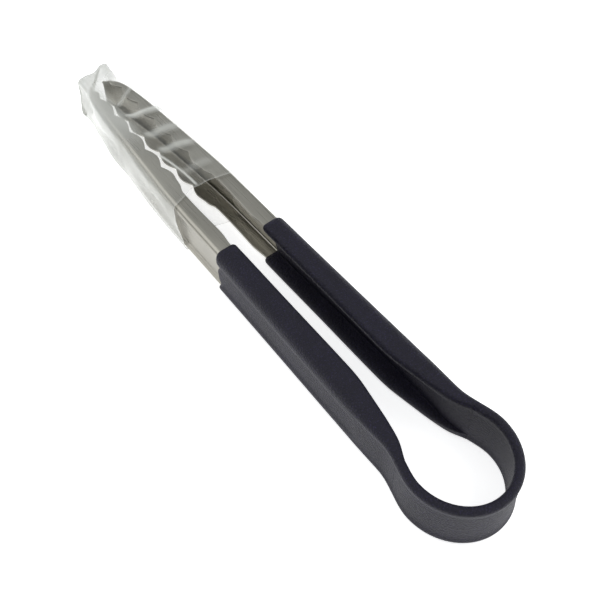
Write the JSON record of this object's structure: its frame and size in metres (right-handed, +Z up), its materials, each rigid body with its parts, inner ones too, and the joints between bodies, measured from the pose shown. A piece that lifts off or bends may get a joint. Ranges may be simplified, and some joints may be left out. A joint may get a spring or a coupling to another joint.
{
  "type": "spring tongs",
  "caption": "One-piece sprung kitchen tongs: a steel strip bent round a loop, channelled arms with scalloped tips, a black dipped grip and a clear film bag over the tips.",
  "frame": {"origin": "centre of the whole box in plan, at the underside of the coated strip as the tongs lie on their edges", "axes": "+X from the sprung loop towards the tips, +Z up through the strip's width, +Y towards the left arm"},
  "size_m": [0.2516, 0.0404, 0.0228],
  "materials": {
    "satin_steel": "satin, brushed along the arms",
    "black_coat": "matt, finely pebbled dipped coat",
    "clear_film": "clear glossy crinkled film"
  },
  "bodies": {
    "left": {"left_arm": "satin_steel", "left_grip": "black_coat", "spring_bend": "satin_steel", "bend_grip": "black_coat", "tip_bag": "clear_film"},
    "right": {"right_arm": "satin_steel", "right_grip": "black_coat"}
  },
  "joints": [
    {"name": "bend_flex", "type": "hinge", "parent": "left", "child": "right", "pos_m": [-0.10355, 0, 0.0114], "axis": [0, 0, 1], "range_deg": [-20, 1.1], "stiffness_Nm_per_rad": 4, "deforming": ["spring_bend", "bend_grip", "tip_bag"]}
  ]
}
